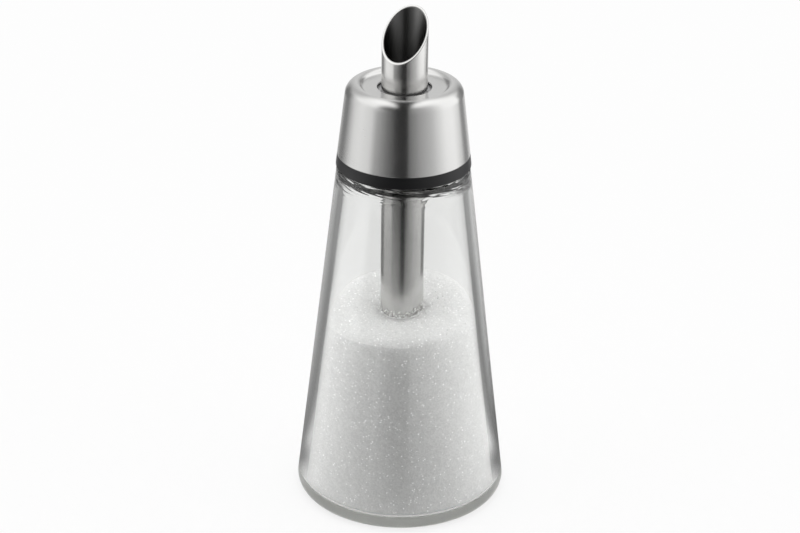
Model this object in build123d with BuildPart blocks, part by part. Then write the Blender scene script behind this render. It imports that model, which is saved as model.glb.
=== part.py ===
"""Sugar dispenser: a conical glass jar, a screw cap with a pouring tube, and a flap in the tube.

The origin is the middle of the foot, on the table. +Z is up. The low side of the slanted
mouth faces -Y. Lengths are in millimetres, and heights are measured from the table.
"""

from build123d import *
from math import acos, atan2, cos, degrees, hypot, radians, sin, tan
import os

# Glass jar
jar_radius = 38.0  # at its widest, just above the heel
heel_radius = 3.7
shoulder_height = 127.0
shoulder_width = 4.4  # from the neck out to where the straight wall would meet the shoulder
shoulder_rounding = 1.5
shoulder_thickness = 3.5
jar_wall = 3.6
jar_floor = 3.6
floor_rounding = 2.0
neck_radius = 19.0
neck_wall = 3.0
neck_length = 11.0
neck_rounding = 2.0  # inside, where the neck opens into the jar
inner_shoulder_rounding = 1.5
rim_rounding = 0.8
foot_width = 3.3  # of the flat ring between the heel and the hollow under the foot
punt_depth = 1.0

# Screw thread: a single right-hand start on the neck, and its mate in the insert
thread_lead = 3.5
thread_turns = 1.2
mate_turns = 1.0  # of the insert's ridge
ridge_height = 1.3
ridge_root_width = 1.5
ridge_crest_width = 0.7
ridge_root_overlap = 0.2
thread_clearance = 0.35
thread_drop = 6.5  # from the rim down to the middle of the neck ridge's lower end

# Sugar
sugar_level = 74.0  # at the glass, halfway between back and front
sugar_dish = 2.2  # how far the surface falls towards the tube
sugar_tilt = 6.9  # degrees that the surface rises towards the back
sugar_clearance = 0.3

# Steel cap shell
ring_height = 4.3  # the plastic edge that shows below the steel
ring_gap = 0.3  # between the glass shoulder and that edge
shell_height = 25.9
shell_sheet = 0.6
shell_lean = 2.65  # how much narrower the lip is than the lower edge
lip_radius = 4.0
lip_inner_radius = 1.0
recess_rounding = 0.6
recess_depth = 1.5
hole_gap = 1.5  # around the spout tube

# Plastic screw insert
skirt_width = 2.6  # from its bore to the outside of the steel, at the steel's lower edge
insert_fit = 0.1
disc_thickness = 2.0
plug_depth = 2.2
plug_wall = 1.0
plug_clearance = 0.4
hub_wall = 2.0
tube_fit = 0.1

# Seal under the insert's disc
seal_thickness = 1.2
seal_clearance = 0.3

# Spout collar
collar_gap = 1.0  # below the sheet of the cap
collar_thickness = 1.4
collar_width = 1.55  # of the spigot between tube and hub
collar_depth = 3.0
collar_overlap = 1.1  # of the flange under the cap's hole
collar_fit = 0.05

# Tubes
spout_radius = 8.0
spout_wall = 0.8
mouth_rise = 17.3  # from the lip up to where the mouth's plane crosses the axis
mouth_angle = 46.2
dosing_step = 0.3  # how much thinner, in radius, the dosing tube is
dosing_wall = 0.6
dosing_foot = 48.0
dosing_grip = 6.1  # length held in the insert

# Flap seat: joins the tubes and carries the flap
spigot_length = 3.0
spigot_fit = 0.1
seat_flange = 1.2
seat_flange_gap = 0.05
seat_rise = 2.5  # from the flange to the seat's top
seat_plate = 1.0
seat_wall = 1.2
seat_land = 1.6  # around the port

# Flap and its hinge
flap_thickness = 0.6
flap_gap = 0.05
flap_overlap = 0.9  # beyond the port's round edge
flap_back_overlap = 0.4  # beyond the port's straight edge, on the hinge's side
flap_ear_gap = 0.4
hinge_inset = 2.9  # from the seat's outside
hinge_rise = 1.25  # above the seat
barrel_radius = 1.1
ear_radius = 1.2
ear_width = 1.12
ear_gap = 0.3
pin_radius = 0.5
pin_inset = 0.1  # of the pin's ends inside the ears
pin_fit = 0.02
barrel_clearance = 0.05


def wall_taper(centre, radius, point, side):
    """Half-angle, in radians, of a straight wall from a rounding's flank to a point."""
    run = point[0] - centre[0]
    rise = point[1] - centre[1]
    return atan2(rise, run) + side * acos(radius / hypot(run, rise))


# Heights that follow from the sizes above
rim_height = shoulder_height + neck_length
disc_bottom = rim_height + seal_thickness
disc_top = disc_bottom + disc_thickness
insert_bottom = shoulder_height + ring_gap
shell_bottom = insert_bottom + ring_height
lip_top = shell_bottom + shell_height
recess_floor = lip_top - recess_depth
collar_top = recess_floor - shell_sheet - collar_gap
hub_top = collar_top - collar_thickness
dosing_top = disc_bottom + dosing_grip
spout_bottom = dosing_top + seat_flange
seat_top = spout_bottom + seat_rise
hinge_height = seat_top + hinge_rise

# Radii that follow from the sizes above
bore_radius = neck_radius - neck_wall
shoulder_radius = neck_radius + shoulder_width
punt_radius = jar_radius - heel_radius - foot_width
crest_radius = neck_radius + ridge_height
insert_bore = crest_radius + thread_clearance
shell_bottom_radius = insert_bore + skirt_width
shell_top_radius = shell_bottom_radius - shell_lean
plug_radius = bore_radius - plug_clearance
hole_radius = spout_radius + hole_gap
spout_bore = spout_radius - spout_wall
dosing_radius = spout_radius - dosing_step
dosing_bore = dosing_radius - dosing_wall
collar_bore = spout_radius + collar_width
hub_radius = collar_bore + hub_wall
spigot_radius = dosing_bore - spigot_fit
seat_radius = spout_bore - spigot_fit
port_radius = seat_radius - seat_land
flap_radius = port_radius + flap_overlap

# The flap's hinge: its place, and how far the ears, barrel and pin reach along it
hinge_offset = seat_radius - hinge_inset
ear_reach = (seat_radius**2 - (hinge_offset + pin_radius) ** 2) ** 0.5
ear_inner = ear_reach - ear_width
barrel_half_length = ear_inner - ear_gap
flap_edge = hinge_offset - ear_radius - flap_ear_gap
port_edge = flap_edge - flap_back_overlap

# The jar's wall: straight from the heel's rounding to the shoulder
heel_centre = (jar_radius - heel_radius, heel_radius)
jar_taper = wall_taper(heel_centre, heel_radius, (shoulder_radius, shoulder_height), -1)
inner_shoulder = shoulder_height - shoulder_thickness


def jar_radius_at(height, inset=0.0):
    """Radius of the jar's straight wall, or of a surface that lies inset from it."""
    leaned = shoulder_radius + (shoulder_height - height) * tan(jar_taper)
    return leaned - inset / cos(jar_taper)


# The cap's wall: straight from its lower edge to the lip's rounding
lip_centre = (shell_top_radius - lip_radius, lip_top - lip_radius)
cap_taper = wall_taper(lip_centre, lip_radius, (shell_bottom_radius, shell_bottom), 1)


def cap_radius_at(height, inset=0.0):
    """Radius of the cap's straight wall, or of a surface that lies inset from it."""
    leaned = shell_bottom_radius + (shell_bottom - height) * tan(cap_taper)
    return leaned - inset / cos(cap_taper)


def round_corner(section, corner, radius):
    """Round the corner of a section that lies nearest to the given point."""
    fillet(section.vertices().sort_by_distance(Vector(*corner))[0], radius)


def helical_ridge(root_radius, tip_radius, start_height, turns):
    """Add a right-hand thread ridge to the part in progress, from its root to its tip."""
    outward = 1 if tip_radius > root_radius else -1
    with BuildLine(Plane.XY.offset(start_height)) as path:
        Helix(pitch=thread_lead, height=thread_lead * turns, radius=root_radius)
    start = Plane(origin=path.line @ 0, x_dir=(1, 0, 0), z_dir=path.line % 0)
    with BuildSketch(start) as ridge_section:
        with BuildLine():
            Polyline(
                (-outward * ridge_root_overlap, -ridge_root_width / 2),
                (tip_radius - root_radius, -ridge_crest_width / 2),
                (tip_radius - root_radius, ridge_crest_width / 2),
                (-outward * ridge_root_overlap, ridge_root_width / 2),
                close=True,
            )
        make_face()
    sweep(ridge_section.sketch, path=path.line, is_frenet=True)


def tube(outer_radius, wall, bottom, top):
    """Add a straight tube to the part in progress."""
    with BuildSketch(Plane.XY.offset(bottom)) as ring:
        Circle(outer_radius)
        Circle(outer_radius - wall, mode=Mode.SUBTRACT)
    extrude(ring.sketch, amount=top - bottom)


# Glass jar, with a shallow punt under its foot
with BuildPart() as glass_jar:
    with BuildSketch(Plane.XZ) as jar_section:
        with BuildLine():
            Polyline(
                (0, 0),
                (jar_radius_at(0), 0),
                (shoulder_radius, shoulder_height),
                (neck_radius, shoulder_height),
                (neck_radius, rim_height),
                (bore_radius, rim_height),
                (bore_radius, inner_shoulder),
                (jar_radius_at(inner_shoulder, jar_wall), inner_shoulder),
                (jar_radius_at(jar_floor, jar_wall), jar_floor),
                (0, jar_floor),
                close=True,
            )
        make_face()
        round_corner(jar_section, (jar_radius_at(0), 0), heel_radius)
        round_corner(jar_section, (shoulder_radius, shoulder_height), shoulder_rounding)
        round_corner(jar_section, (neck_radius, rim_height), rim_rounding)
        round_corner(jar_section, (bore_radius, rim_height), rim_rounding)
        round_corner(jar_section, (bore_radius, inner_shoulder), neck_rounding)
        inner_corner = (jar_radius_at(inner_shoulder, jar_wall), inner_shoulder)
        round_corner(jar_section, inner_corner, inner_shoulder_rounding)
        floor_corner = (jar_radius_at(jar_floor, jar_wall), jar_floor)
        round_corner(jar_section, floor_corner, floor_rounding)
    revolve(axis=Axis.Z)
    punt_sphere = (punt_radius**2 + punt_depth**2) / (2 * punt_depth)
    with Locations((0, 0, punt_depth - punt_sphere)):
        Sphere(punt_sphere, mode=Mode.SUBTRACT)
    ridge_start = rim_height - thread_drop
    helical_ridge(neck_radius, crest_radius, ridge_start, thread_turns)
glass_jar.part.label = "glass_jar"

# Sugar, with a slot that the dosing tube stands in. The air above it is a tilted cone.
slot_radius = dosing_radius + sugar_clearance
core_radius = dosing_bore - sugar_clearance
sugar_bottom = jar_floor + sugar_clearance
slot_bottom = dosing_foot - sugar_clearance
sugar_inset = jar_wall + sugar_clearance
sugar_top = sugar_level + jar_radius * sin(radians(sugar_tilt))
tube_level = sugar_level - sugar_dish
air_height = 2 * (sugar_top - tube_level)
air_slant = (jar_radius_at(sugar_level, sugar_inset) - slot_radius) / sugar_dish
with BuildPart() as sugar_fill:
    with BuildSketch(Plane.XZ) as sugar_section:
        with BuildLine():
            Polyline(
                (0, sugar_bottom),
                (jar_radius_at(sugar_bottom, sugar_inset), sugar_bottom),
                (jar_radius_at(sugar_top, sugar_inset), sugar_top),
                (slot_radius, sugar_top),
                (slot_radius, slot_bottom),
                (core_radius, slot_bottom),
                (core_radius, sugar_top),
                (0, sugar_top),
                close=True,
            )
        make_face()
        sugar_corner = (jar_radius_at(sugar_bottom, sugar_inset), sugar_bottom)
        round_corner(sugar_section, sugar_corner, floor_rounding - sugar_clearance)
    revolve(axis=Axis.Z)
    with Locations(Location((0, 0, tube_level), (sugar_tilt, 0, 0))):
        Cone(
            slot_radius,
            slot_radius + air_height * air_slant,
            air_height,
            align=(Align.CENTER, Align.CENTER, Align.MIN),
            mode=Mode.SUBTRACT,
        )
sugar_fill.part.label = "sugar_fill"

# Cap shell, pressed from one sheet
drop_radius = lip_inner_radius + recess_rounding
drop_angle = degrees(acos(1 - recess_depth / drop_radius))
lip_inner_centre = (lip_centre[0], lip_top - lip_inner_radius)
recess_edge = lip_centre[0] - drop_radius * sin(radians(drop_angle))
recess_centre = (recess_edge, recess_floor + recess_rounding)


def shell_outline(inset):
    """Draw the shell from its lower edge to the edge of its hole, inset from the outside."""
    flank = degrees(cap_taper)
    lip = CenterArc(lip_centre, lip_radius - inset, flank, 90 - flank)
    Line((cap_radius_at(shell_bottom, inset), shell_bottom), lip @ 0)
    CenterArc(lip_inner_centre, lip_inner_radius - inset, 90, drop_angle)
    CenterArc(recess_centre, recess_rounding + inset, drop_angle - 90, -drop_angle)
    Line((recess_edge, recess_floor - inset), (hole_radius, recess_floor - inset))


with BuildPart() as cap_shell:
    with BuildSketch(Plane.XZ):
        with BuildLine():
            shell_outline(0)
            shell_outline(shell_sheet)
            Line(
                (shell_bottom_radius, shell_bottom),
                (cap_radius_at(shell_bottom, shell_sheet), shell_bottom),
            )
            Line((hole_radius, recess_floor), (hole_radius, recess_floor - shell_sheet))
        make_face()
    revolve(axis=Axis.Z)
cap_shell.part.label = "cap_shell"

# Screw insert: visible edge, skirt with its thread, disc over the neck, hub round the tubes
shell_inset = shell_sheet + insert_fit
with BuildPart() as cap_insert:
    with BuildSketch(Plane.XZ):
        with BuildLine():
            Polyline(
                (insert_bore, insert_bottom),
                (cap_radius_at(insert_bottom), insert_bottom),
                (shell_bottom_radius, shell_bottom),
                (cap_radius_at(shell_bottom, shell_inset), shell_bottom),
                (cap_radius_at(disc_top, shell_inset), disc_top),
                (hub_radius, disc_top),
                (hub_radius, hub_top),
                (collar_bore, hub_top),
                (collar_bore, hub_top - collar_depth),
                (spout_radius + tube_fit, hub_top - collar_depth),
                (spout_radius + tube_fit, dosing_top),
                (dosing_radius + tube_fit, dosing_top),
                (dosing_radius + tube_fit, disc_bottom),
                (plug_radius - plug_wall, disc_bottom),
                (plug_radius - plug_wall, disc_bottom - plug_depth),
                (plug_radius, disc_bottom - plug_depth),
                (plug_radius, disc_bottom),
                (insert_bore, disc_bottom),
                close=True,
            )
        make_face()
    revolve(axis=Axis.Z)
    mate_start = ridge_start - thread_lead / 2
    helical_ridge(insert_bore, insert_bore - ridge_height, mate_start, mate_turns)
cap_insert.part.label = "cap_insert"

# Seal ring between the rim and the insert's disc
seal_bore = plug_radius + seal_clearance
seal_radius = insert_bore - ridge_height - seal_clearance
with BuildPart() as seal_ring:
    tube(seal_radius, seal_radius - seal_bore, rim_height, disc_bottom)
seal_ring.part.label = "seal_ring"

# Spout collar: a spigot between tube and hub, with a flange below the cap's hole
with BuildPart() as spout_collar:
    with BuildSketch(Plane.XZ):
        with BuildLine():
            Polyline(
                (spout_radius + collar_fit, hub_top - collar_depth),
                (collar_bore - collar_fit, hub_top - collar_depth),
                (collar_bore - collar_fit, hub_top),
                (hole_radius + collar_overlap, hub_top),
                (hole_radius + collar_overlap, collar_top),
                (spout_radius + collar_fit, collar_top),
                close=True,
            )
        make_face()
    revolve(axis=Axis.Z)
spout_collar.part.label = "spout_collar"

# Spout tube, cut off at a slant
mouth_slope = tan(radians(mouth_angle))
mouth_height = lip_top + mouth_rise
mouth_tip = mouth_height + spout_radius * mouth_slope
with BuildPart() as spout_tube:
    tube(spout_radius, spout_wall, spout_bottom, mouth_tip)
    mouth_plane = Plane(origin=(0, 0, mouth_height), z_dir=(0, -mouth_slope, 1))
    split(bisect_by=mouth_plane, keep=Keep.BOTTOM)
spout_tube.part.label = "spout_tube"

# Dosing tube
with BuildPart() as dosing_tube:
    tube(dosing_radius, dosing_wall, dosing_foot, dosing_top)
dosing_tube.part.label = "dosing_tube"

# Flap seat: a spigot in each tube, a flange between them, a D-shaped port and two ears
hinge_centre = (hinge_offset, hinge_height)
seat_bore = spigot_radius - seat_wall
flange_radius = spout_radius - seat_flange_gap
with BuildPart() as flap_seat:
    with BuildSketch(Plane.YZ.offset(ear_inner)):
        with Locations(hinge_centre):
            Circle(ear_radius)
        with Locations((hinge_offset, seat_top)):
            Rectangle(2 * ear_radius, 2 * hinge_rise)
    extrude(amount=seat_radius - ear_inner)
    mirror(about=Plane.YZ)
    with BuildSketch(Plane.XY.offset(seat_top - hinge_rise)):
        Circle(seat_radius)
    extrude(amount=2 * hinge_rise + ear_radius, mode=Mode.INTERSECT)
    tube(spigot_radius, seat_wall, dosing_top - spigot_length, dosing_top)
    tube(flange_radius, flange_radius - seat_bore, dosing_top, spout_bottom)
    tube(seat_radius, seat_radius - seat_bore, spout_bottom, seat_top - seat_plate)
    with BuildSketch(Plane.XY.offset(seat_top)) as seat_port:
        Circle(seat_radius)
        with BuildSketch(mode=Mode.PRIVATE) as port:
            Circle(port_radius)
            with Locations((0, port_edge)):
                Rectangle(
                    2 * port_radius,
                    port_radius,
                    align=(Align.CENTER, Align.MIN),
                    mode=Mode.SUBTRACT,
                )
        add(port.sketch, mode=Mode.SUBTRACT)
    extrude(amount=-seat_plate)
    with BuildSketch(Plane.YZ):
        with Locations(hinge_centre):
            Circle(pin_radius + pin_fit)
    extrude(amount=seat_radius, both=True, mode=Mode.SUBTRACT)
flap_seat.part.label = "flap_seat"

# Flap: a disc on the seat, with a tongue back to its hinge barrel
with BuildPart() as flap:
    with BuildSketch(Plane.XY.offset(seat_top + flap_gap)):
        Circle(flap_radius)
        with Locations((0, flap_edge)):
            Rectangle(
                2 * flap_radius,
                flap_radius,
                align=(Align.CENTER, Align.MIN),
                mode=Mode.SUBTRACT,
            )
        Rectangle(2 * barrel_half_length, hinge_offset, align=(Align.CENTER, Align.MIN))
    extrude(amount=flap_thickness)
    with BuildSketch(Plane.YZ):
        with Locations(hinge_centre):
            Circle(barrel_radius)
    extrude(amount=barrel_half_length, both=True)
    with BuildSketch(Plane.YZ):
        with Locations(hinge_centre):
            Circle(pin_radius + barrel_clearance)
    extrude(amount=barrel_half_length, both=True, mode=Mode.SUBTRACT)
flap.part.label = "flap"

# Flap pin, as long as the ears allow
with BuildPart() as flap_pin:
    with BuildSketch(Plane.YZ):
        with Locations(hinge_centre):
            Circle(pin_radius)
    extrude(amount=ear_reach - pin_inset, both=True)
flap_pin.part.label = "flap_pin"

os.makedirs("parts", exist_ok=True)
pieces = [
    glass_jar,
    sugar_fill,
    cap_shell,
    cap_insert,
    seal_ring,
    spout_collar,
    spout_tube,
    dosing_tube,
    flap_seat,
    flap,
    flap_pin,
]
for piece in pieces:
    export_step(piece.part, f"parts/{piece.part.label}.step")
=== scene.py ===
"""Sugar dispenser with flap: glass, steel, plastic and sugar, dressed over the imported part.

Everything is in metres in the part's own frame: the origin is the middle of the foot, +Z is
up, and the low side of the slanted mouth faces -Y.
"""

import math
import random

import bmesh
import bpy
from bpy.props import FloatProperty, FloatVectorProperty, IntProperty, PointerProperty
from bpy.types import Operator, Panel, PropertyGroup
from mathutils import Euler, Matrix, Vector, noise


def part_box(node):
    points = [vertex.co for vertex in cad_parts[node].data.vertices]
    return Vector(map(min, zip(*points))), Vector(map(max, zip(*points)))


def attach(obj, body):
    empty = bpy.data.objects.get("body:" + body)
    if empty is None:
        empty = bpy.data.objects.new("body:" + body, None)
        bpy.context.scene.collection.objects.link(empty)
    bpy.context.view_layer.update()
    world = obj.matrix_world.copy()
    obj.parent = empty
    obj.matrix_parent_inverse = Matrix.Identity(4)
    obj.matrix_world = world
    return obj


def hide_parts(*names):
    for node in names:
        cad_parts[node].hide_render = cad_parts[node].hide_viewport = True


bl_info = {
    "name": "Sugar Dispenser",
    "version": (1, 0, 0),
    "blender": (4, 5, 0),
    "location": "3D View > Sidebar > Dispenser",
    "description": "Builds a glass sugar dispenser with a steel screw cap and a pouring tube",
    "category": "Object",
}

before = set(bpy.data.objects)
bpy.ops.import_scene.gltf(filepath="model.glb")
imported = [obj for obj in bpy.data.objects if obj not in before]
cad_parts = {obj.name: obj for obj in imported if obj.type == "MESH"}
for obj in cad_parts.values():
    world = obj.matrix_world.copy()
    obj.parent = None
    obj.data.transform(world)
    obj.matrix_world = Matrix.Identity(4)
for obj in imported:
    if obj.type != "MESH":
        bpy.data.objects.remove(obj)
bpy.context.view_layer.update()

MM = 0.001
WELD = 0.001 * MM  # points closer than this are one
NEAR = 0.01 * MM  # a point closer than this to a surface lies on it

# How finely the turned pieces are divided
JAR_STEPS = 176
CAP_STEPS = 192
COLLAR_STEPS = 144
TUBE_STEPS = 160
FACET_ANGLE = math.radians(11)  # that one facet of a rounding turns
LEAST_FACETS = 3
SHARP_ANGLE = math.radians(40)  # from which an edge is shaded sharp

jar_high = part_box("glass_jar")[1]
shell_low, shell_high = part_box("cap_shell")
insert_low, insert_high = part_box("cap_insert")
collar_low, collar_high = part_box("spout_collar")
spout_low, spout_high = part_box("spout_tube")
dosing_low, dosing_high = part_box("dosing_tube")


def length(name, description, millimetres):
    """A property for a length."""
    return FloatProperty(
        name=name, description=description, default=millimetres * MM, unit="LENGTH"
    )


def angle(name, description, degrees):
    """A property for an angle."""
    return FloatProperty(
        name=name, description=description, default=math.radians(degrees), unit="ROTATION"
    )


def tint(name, description, default):
    """A property for a colour."""
    return FloatVectorProperty(
        name=name, description=description, default=default, subtype="COLOR", min=0, max=1
    )


class JarSizes(PropertyGroup):
    """Sizes of the glass jar."""

    heel: length("Heel rounding", "Radius under the jar's widest place", 3.7)
    wall: length("Wall", "Thickness of the glass wall", 3.6)
    floor: length("Floor", "Height of the inside of the floor above the table", 3.6)
    floor_rounding: length("Floor rounding", "Radius inside, between floor and wall", 2.0)
    foot: length("Foot", "Width of the flat ring that stands on the table", 3.3)
    punt: length("Punt", "Depth of the hollow under the foot", 1.0)
    neck: length("Neck radius", "Outside radius of the neck, without its thread", 19.0)
    neck_wall: length("Neck wall", "Thickness of the glass at the neck", 3.0)
    neck_length: length("Neck length", "Height of the neck above the shoulder", 11.0)
    shoulder: length("Shoulder width", "From the neck out to the wall", 4.4)
    shoulder_glass: length("Shoulder thickness", "Thickness of the glass at the shoulder", 3.5)
    thread_lead: length("Thread lead", "Rise of the screw thread in one turn", 3.5)
    thread_drop: length("Thread drop", "From the rim down to the lower end of the thread", 6.5)
    thread_turns: FloatProperty(
        name="Thread turns",
        description="Turns of the ridge on the neck",
        default=1.2,
    )
    thread_height: length("Thread height", "How far the ridge stands out", 1.3)
    shoulder_rounding: length("Shoulder rounding", "Radius where the wall meets the shoulder", 1.5)
    neck_root: length("Neck root", "Radius where the neck meets the shoulder", 0.4)
    rim_rounding: length("Rim rounding", "Radius at both edges of the rim", 0.8)
    bore_rounding: length("Bore rounding", "Radius where the bore opens into the jar", 2.0)


class SugarSizes(PropertyGroup):
    """Sizes of the sugar in the jar."""

    gap: length("Gap", "Air left between the sugar and the glass or steel", 0.06)
    level: length("Level", "Height at the glass, halfway from front to back", 74.0)
    tilt: angle("Tilt", "How much the surface rises towards the back", 6.9)
    dish: length("Dish", "How far the surface falls from the glass to the tube", 2.2)
    slump: length("Slump", "How far the surface falls where it meets the glass", 2.3)
    swell: length("Swell", "Height of the soft unevenness of the surface", 0.7)
    grain: length("Grain", "Size of one grain of sugar", 0.5)
    depth: length("Depth of light", "How far light spreads inside the packed sugar", 9.0)
    loose_grains: IntProperty(
        name="Loose grains",
        description="Single grains that lie on the surface",
        default=320,
        min=0,
    )
    tube_grains: IntProperty(
        name="Grains on the tube",
        description="Single grains that cling to the foot of the tube",
        default=260,
        min=0,
    )


class CapSizes(PropertyGroup):
    """Sizes of the steel cap and its plastic insert."""

    sheet: length("Sheet", "Thickness of the steel sheet", 0.6)
    lean: length("Lean", "How much narrower the lip is than the lower edge", 2.65)
    lip: length("Lip radius", "Radius of the rounding at the top edge", 4.0)
    inner_lip: length("Inner lip radius", "Radius where the lip turns down into the recess", 1.8)
    recess: length("Recess depth", "Depth of the shallow dish in the top", 1.5)
    recess_rounding: length("Recess rounding", "Radius at the edge of the recess floor", 1.4)
    hole: length("Hole radius", "Radius of the hole round the pouring tube", 9.5)
    insert_bore: length("Insert bore", "Inside radius of the screw insert", 20.65)
    disc: length("Disc", "Height of the disc's underside above the table", 139.2)
    disc_thickness: length("Disc thickness", "Thickness of the disc over the neck", 2.0)
    plug_gap: length("Plug gap", "Gap between the plug and the neck's bore", 0.4)
    plug_wall: length("Plug wall", "Thickness of the plug in the neck", 1.0)
    plug_depth: length("Plug depth", "How far the plug reaches down", 2.2)
    hub_wall: length("Hub wall", "Thickness of the hub round the collar", 2.0)
    ledge_depth: length("Ledge depth", "From the hub's top to the collar's seat", 3.0)
    fit: length("Fit", "Gap between the insert and the steel pieces", 0.1)
    collar_wall: length("Collar wall", "From the tube to the hub's bore", 1.55)
    collar_fit: length("Collar fit", "Gap on both sides of the collar", 0.05)


class TubeSizes(PropertyGroup):
    """Sizes of the pouring tube and the dosing tube."""

    spout_wall: length("Pouring tube wall", "Thickness of the pouring tube's steel", 0.8)
    mouth_angle: angle("Mouth angle", "Slope of the mouth", 46.2)
    rim: length("Rim rounding", "Rounding on the polished rim of the mouth", 0.22)
    dosing_wall: length("Dosing tube wall", "Thickness of the dosing tube's steel", 0.6)


class Finishes(PropertyGroup):
    """Colours of the dispenser's materials."""

    glass: tint("Glass", "Colour of the clear glass", (0.858, 0.859, 0.857))
    foot: tint("Stippled foot", "Colour of the matt stippling under the foot", (0.93, 0.935, 0.87))
    glass_depth: tint("Glass in depth", "Colour that thick glass takes on", (0.82, 0.835, 0.805))
    sugar: tint("Sugar", "Colour of the sugar", (0.93, 0.93, 0.925))
    cap_steel: tint("Cap steel", "Colour of the satin cap", (0.62, 0.618, 0.61))
    tube_steel: tint("Tube steel", "Colour of the tubes and the flap", (0.66, 0.656, 0.645))
    black: tint("Black plastic", "Colour of the insert and the flap's seat", (0.012, 0.012, 0.013))
    grey: tint("Grey plastic", "Colour of the collar", (0.55, 0.55, 0.56))
    silicone: tint("Silicone", "Colour of the seal", (0.82, 0.82, 0.8))


class StudioSettings(PropertyGroup):
    """Camera and light."""

    camera_place: FloatVectorProperty(
        name="Camera",
        description="Place of the camera",
        default=(0.2826, -0.6404, 0.4225),
        subtype="TRANSLATION",
        unit="LENGTH",
    )
    heading: angle("Heading", "Turn of the camera about the vertical", 23.88)
    pitch: angle("Pitch", "How far the camera looks down", 25.587)
    roll: angle("Roll", "Turn of the camera about its own axis", 0.669)
    lens: FloatProperty(
        name="Lens",
        description="Focal length in millimetres on a 36 mm sensor",
        default=97.673,
    )
    floor_radius: FloatProperty(
        name="Floor radius",
        description="Radius of the pale floor",
        default=4.0,
        unit="LENGTH",
    )
    floor_drop: length("Floor drop", "Gap that keeps the floor from touching the foot", 0.02)


class DispenserSettings(PropertyGroup):
    """All sizes, colours and studio settings."""

    jar: PointerProperty(type=JarSizes)
    sugar: PointerProperty(type=SugarSizes)
    cap: PointerProperty(type=CapSizes)
    tubes: PointerProperty(type=TubeSizes)
    finishes: PointerProperty(type=Finishes)
    studio: PointerProperty(type=StudioSettings)


# Shader graphs


def operator(operation, reflected=False):
    """An arithmetic operator of Wire, which adds a Math node."""

    def apply(wire, other):
        values = (other, wire) if reflected else (wire, other)
        return wire.graph.maths(operation, *values)

    return apply


class Wire:
    """An output socket that takes Python arithmetic, by adding Math nodes."""

    def __init__(self, graph, socket):
        self.graph = graph
        self.socket = socket

    __add__ = operator("ADD")
    __radd__ = operator("ADD", reflected=True)
    __sub__ = operator("SUBTRACT")
    __rsub__ = operator("SUBTRACT", reflected=True)
    __mul__ = operator("MULTIPLY")
    __rmul__ = operator("MULTIPLY", reflected=True)
    __truediv__ = operator("DIVIDE")
    __rtruediv__ = operator("DIVIDE", reflected=True)
    __gt__ = operator("GREATER_THAN")
    __lt__ = operator("LESS_THAN")

    def between(self, low, high):
        """0 below low, 1 above high, and a smooth rise from one to the other."""
        return self.graph.add(
            "ShaderNodeMapRange",
            {"interpolation_type": "SMOOTHSTEP"},
            {"Value": self, "From Min": low, "From Max": high},
        )


class Graph:
    """Adds nodes to the tree of a material or world."""

    def __init__(self, tree):
        self.tree = tree
        tree.nodes.clear()

    def add(self, kind, settings=None, inputs=None, output=0):
        """Add a node: its settings first, then the values or links of its inputs."""
        node = self.tree.nodes.new(kind)
        for name, value in (settings or {}).items():
            if name == "stops":
                self.set_stops(node.color_ramp, value)
            else:
                setattr(node, name, value)
        for name, value in (inputs or {}).items():
            socket = node.inputs[name]
            if isinstance(value, Wire):
                self.tree.links.new(value.socket, socket)
            else:
                socket.default_value = value
        return Wire(self, node.outputs[output]) if node.outputs else node

    def set_stops(self, ramp, stops):
        """Give a colour ramp its stops, as (place, brightness)."""
        while len(ramp.elements) > 1:
            ramp.elements.remove(ramp.elements[-1])
        for index, (place, level) in enumerate(stops):
            stop = ramp.elements[0] if index == 0 else ramp.elements.new(place)
            stop.position = place
            stop.color = grey(level)

    def maths(self, operation, *values):
        """Add a Math node for the values."""
        return self.add("ShaderNodeMath", {"operation": operation}, dict(enumerate(values)))

    def position(self):
        """Position on the piece, in metres."""
        return self.add("ShaderNodeTexCoord", output="Object")

    def axes(self, vector):
        """X, Y and Z of a vector."""
        return [
            self.add("ShaderNodeSeparateXYZ", None, {0: vector}, axis)
            for axis in ("X", "Y", "Z")
        ]

    def mix(self, factor, first, second):
        """Blend two colours."""
        return self.add(
            "ShaderNodeMix",
            {"data_type": "RGBA"},
            {"Factor": factor, "A": first, "B": second},
            "Result",
        )

    def scaled(self, vector, factors):
        """A vector with its parts multiplied by three factors."""
        return self.add("ShaderNodeVectorMath", {"operation": "MULTIPLY"}, {0: vector, 1: factors})

    def noise(self, vector, scale, detail):
        """Noise over a vector."""
        inputs = {"Vector": vector, "Scale": scale, "Detail": detail}
        return self.add("ShaderNodeTexNoise", None, inputs)

    def streaks(self, travel, scale, detail):
        """Noise over a single value."""
        inputs = {"W": travel, "Scale": scale, "Detail": detail}
        return self.add("ShaderNodeTexNoise", {"noise_dimensions": "1D"}, inputs)

    def principled(self, inputs):
        """The usual shader of a surface."""
        return self.add("ShaderNodeBsdfPrincipled", None, inputs)

    def bump(self, strength, distance, height):
        """A normal that follows a height."""
        inputs = {"Strength": strength, "Distance": distance, "Height": height}
        return self.add("ShaderNodeBump", None, inputs)

    def close(self, shader, volume=None):
        """Link a shader, and a volume where there is one, to the material's output."""
        links = {"Surface": shader}
        if volume:
            links["Volume"] = volume
        self.add("ShaderNodeOutputMaterial", None, links)


def grey(level):
    """A grey as a socket's value."""
    return (level, level, level, 1)


def rgba(colour, gain=1.0):
    """A colour property as a socket's value, made lighter or darker."""
    return (*(min(1.0, channel * gain) for channel in colour), 1)


def new_material(name):
    """The empty graph of a new material."""
    made = bpy.data.materials.new(name)
    made.use_nodes = True
    return Graph(made.node_tree)


RINGS = (18.6 * MM, 15 * MM)  # depths below the rim between which rings appear in the glass
STIPPLE_END = (1.05 * MM, 1.5 * MM)  # heights between which the foot's stippling fades
BORE_SHADE = (0.7 * MM, 0.4 * MM)  # depths under the pouring tube's surface: painted bore shade, dark to light


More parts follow.
